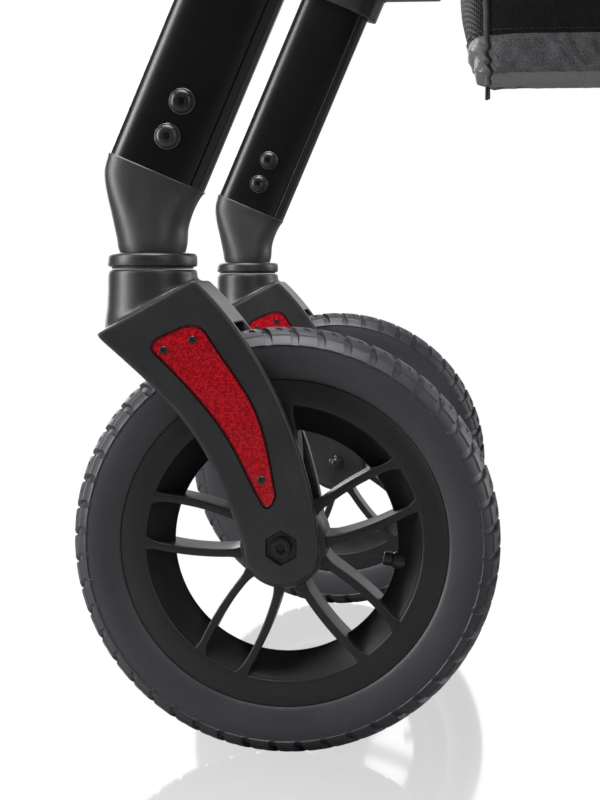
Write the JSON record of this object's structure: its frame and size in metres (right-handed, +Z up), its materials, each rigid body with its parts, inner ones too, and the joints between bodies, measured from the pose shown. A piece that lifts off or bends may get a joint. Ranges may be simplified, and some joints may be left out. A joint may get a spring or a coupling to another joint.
{
  "type": "four-wheeled walker",
  "caption": "Cross-folding all-terrain walker with large air tyres, swivelling front forks, reflectors, sling seat, bag and cable brakes.",
  "frame": {"origin": "on the floor, at the centre of the bounding box", "axes": "+Z up, the walker travels along -Y, and its left side is at +X"},
  "size_m": [0.6456, 0.741, 0.9304],
  "materials": {
    "tube": "satin",
    "moulding": "matte",
    "bolt": "gloss",
    "lens": "gloss",
    "tyre": "matte",
    "rubber": "matte",
    "fabric": "matte"
  },
  "bodies": {
    "frame_left": {"elbow_left": "moulding", "front_leg_left": "tube", "leg_bolt_lower_left": "bolt", "leg_bolt_upper_left": "bolt", "bearing_ring_left": "moulding", "joint_bracket_left": "moulding", "frame_tube_left": "tube", "rear_fork_left": "moulding", "rear_axle_left": "bolt", "leg_clamp_left": "moulding", "brake_cable_left": "rubber"},
    "caster_left": {"caster_fork_left": "moulding", "reflector_outer_left": "lens", "reflector_inner_left": "lens", "front_axle_left": "bolt"},
    "front_wheel_left": {"front_tyre_left": "tyre", "front_rim_left": "moulding", "front_valve_left": "rubber"},
    "rear_wheel_left": {"rear_tyre_left": "tyre", "rear_rim_left": "moulding"},
    "shoe_arm_left": {"brake_arm_left": "moulding"},
    "handle_left": {"handle_tube_left": "tube", "hand_grip_left": "rubber", "lever_housing_left": "moulding"},
    "lever_left": {"brake_lever_left": "moulding"},
    "knob_left": {"clamp_knob_left": "moulding"},
    "rail_left": {"seat_rail_left": "tube", "seat": "fabric", "bag": "fabric"},
    "cross_bar_a": {"cross_bar_a": "tube", "cross_pivot": "bolt"},
    "cross_bar_b": {"cross_bar_b": "tube"},
    "frame_right": {"elbow_right": "moulding", "front_leg_right": "tube", "leg_bolt_lower_right": "bolt", "leg_bolt_upper_right": "bolt", "bearing_ring_right": "moulding", "joint_bracket_right": "moulding", "frame_tube_right": "tube", "rear_fork_right": "moulding", "rear_axle_right": "bolt", "leg_clamp_right": "moulding", "brake_cable_right": "rubber"},
    "caster_right": {"caster_fork_right": "moulding", "reflector_outer_right": "lens", "reflector_inner_right": "lens", "front_axle_right": "bolt"},
    "front_wheel_right": {"front_tyre_right": "tyre", "front_rim_right": "moulding", "front_valve_right": "rubber"},
    "rear_wheel_right": {"rear_tyre_right": "tyre", "rear_rim_right": "moulding"},
    "shoe_arm_right": {"brake_arm_right": "moulding"},
    "handle_right": {"handle_tube_right": "tube", "hand_grip_right": "rubber", "lever_housing_right": "moulding"},
    "lever_right": {"brake_lever_right": "moulding"},
    "knob_right": {"clamp_knob_right": "moulding"},
    "rail_right": {"seat_rail_right": "tube"}
  },
  "joints": [
    {"name": "fold", "type": "hinge", "parent": "frame_left", "child": "cross_bar_a", "pos_m": [0.244, 0.134, 0.375], "axis": [0, 1, 0], "range_deg": [0, 47], "deforming": ["seat", "bag"]},
    {"name": "cross_pivot_turn", "type": "hinge", "parent": "cross_bar_a", "child": "cross_bar_b", "pos_m": [0, 0.147, 0.4975], "axis": [0, 1, 0], "range_deg": [-94, 0]},
    {"name": "frame_right_turn", "type": "hinge", "parent": "cross_bar_b", "child": "frame_right", "pos_m": [-0.244, 0.16, 0.375], "axis": [0, 1, 0], "range_deg": [0, 47]},
    {"name": "rail_left_turn", "type": "hinge", "parent": "cross_bar_b", "child": "rail_left", "pos_m": [0.244, 0.16, 0.62], "axis": [0, 1, 0], "range_deg": [0, 47]},
    {"name": "rail_right_turn", "type": "hinge", "parent": "cross_bar_a", "child": "rail_right", "pos_m": [-0.244, 0.134, 0.62], "axis": [0, 1, 0], "range_deg": [-47, 0]},
    {"name": "caster_swivel_left", "type": "hinge", "parent": "frame_left", "child": "caster_left", "pos_m": [0.28, -0.316, 0.335], "axis": [0, 0, 1], "continuous": true},
    {"name": "front_wheel_spin_left", "type": "hinge", "parent": "caster_left", "child": "front_wheel_left", "pos_m": [0.28, -0.225, 0.1455], "axis": [1, 0, 0], "continuous": true},
    {"name": "rear_wheel_spin_left", "type": "hinge", "parent": "frame_left", "child": "rear_wheel_left", "pos_m": [0.28, 0.225, 0.1455], "axis": [1, 0, 0], "continuous": true},
    {"name": "brake_lever_left", "type": "hinge", "parent": "handle_left", "child": "lever_left", "pos_m": [0.28, -0.04611, 0.85774], "axis": [1, 0, 0], "range_deg": [0, 13], "stiffness_Nm_per_rad": 3},
    {"name": "brake_arm_left", "type": "hinge", "parent": "frame_left", "child": "shoe_arm_left", "pos_m": [0.28, 0.13004, 0.30254], "axis": [1, 0, 0], "range_deg": [0, 4.16]},
    {"name": "handle_height_left", "type": "slide", "parent": "frame_left", "child": "handle_left", "axis": [0, 0.3939, 0.9191], "range_m": [-0.09, 0.06], "deforming": ["brake_cable_left"]},
    {"name": "clamp_knob_left", "type": "hinge", "parent": "frame_left", "child": "knob_left", "pos_m": [0.28, -0.16054, 0.74979], "axis": [1, 0, 0], "range_deg": [-360, 0]},
    {"name": "caster_swivel_right", "type": "hinge", "parent": "frame_right", "child": "caster_right", "pos_m": [-0.28, -0.316, 0.335], "axis": [0, 0, 1], "continuous": true},
    {"name": "front_wheel_spin_right", "type": "hinge", "parent": "caster_right", "child": "front_wheel_right", "pos_m": [-0.28, -0.225, 0.1455], "axis": [1, 0, 0], "continuous": true},
    {"name": "rear_wheel_spin_right", "type": "hinge", "parent": "frame_right", "child": "rear_wheel_right", "pos_m": [-0.28, 0.225, 0.1455], "axis": [1, 0, 0], "continuous": true},
    {"name": "brake_lever_right", "type": "hinge", "parent": "handle_right", "child": "lever_right", "pos_m": [-0.28, -0.04611, 0.85774], "axis": [1, 0, 0], "range_deg": [0, 13], "stiffness_Nm_per_rad": 3},
    {"name": "brake_arm_right", "type": "hinge", "parent": "frame_right", "child": "shoe_arm_right", "pos_m": [-0.28, 0.13004, 0.30254], "axis": [1, 0, 0], "range_deg": [0, 4.16]},
    {"name": "handle_height_right", "type": "slide", "parent": "frame_right", "child": "handle_right", "axis": [0, 0.3939, 0.9191], "range_m": [-0.09, 0.06], "deforming": ["brake_cable_right"]},
    {"name": "clamp_knob_right", "type": "hinge", "parent": "frame_right", "child": "knob_right", "pos_m": [-0.28, -0.16054, 0.74979], "axis": [1, 0, 0], "range_deg": [-360, 0]}
  ],
  "couplings": [
    {"joint": "cross_pivot_turn", "follows": "fold", "ratio": -2},
    {"joint": "frame_right_turn", "follows": "fold", "ratio": 1},
    {"joint": "rail_left_turn", "follows": "fold", "ratio": 1},
    {"joint": "rail_right_turn", "follows": "fold", "ratio": -1},
    {"joint": "brake_arm_left", "follows": "brake_lever_left", "ratio": 0.32},
    {"joint": "brake_arm_right", "follows": "brake_lever_right", "ratio": 0.32}
  ]
}
